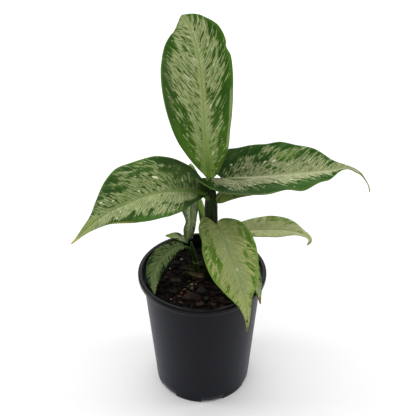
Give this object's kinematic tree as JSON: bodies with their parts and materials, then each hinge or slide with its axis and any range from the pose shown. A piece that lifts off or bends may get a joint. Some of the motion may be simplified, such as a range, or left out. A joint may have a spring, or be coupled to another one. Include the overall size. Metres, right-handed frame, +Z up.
{
  "type": "potted dieffenbachia",
  "caption": "Leafy dieffenbachia with broad variegated leaves on a short cane, growing in bark mix in a round tapered plastic nursery pot.",
  "frame": {"origin": "middle of the pot's underside, where it stands on the surface", "axes": "+Z up along the pot's axis; the pale leaf hangs over the rim towards -Y, the front; +X to the right"},
  "size_m": [0.3097, 0.1565, 0.412],
  "materials": {
    "pot_plastic": "satin moulded charcoal plastic, a little glossier inside and on the lip",
    "bark_mix": "damp near-black bark mix with red-brown chips",
    "stem": "smooth dark green living stem, faintly glossy",
    "leaf_green": "living leaf, softly glossy, dark green margin and pale grey-green streaked middle",
    "leaf_pale": "living leaf, softly glossy, pale yellow-green with green flecks",
    "dry_sheath": "dead, papery, matt tan to olive-brown"
  },
  "bodies": {
    "root": {"pot": "pot_plastic", "soil": "bark_mix", "main_cane": "stem", "side_shoot": "stem", "leaf_top": "leaf_green", "leaf_left": "leaf_green", "leaf_right": "leaf_green", "leaf_low": "leaf_green", "leaf_folded": "leaf_green", "leaf_behind": "leaf_green", "leaf_front": "leaf_pale", "leaf_small": "leaf_pale", "leaf_young": "leaf_pale", "dry_sheath_shoot": "dry_sheath", "dry_sheath_cane": "dry_sheath"}
  },
  "joints": []
}
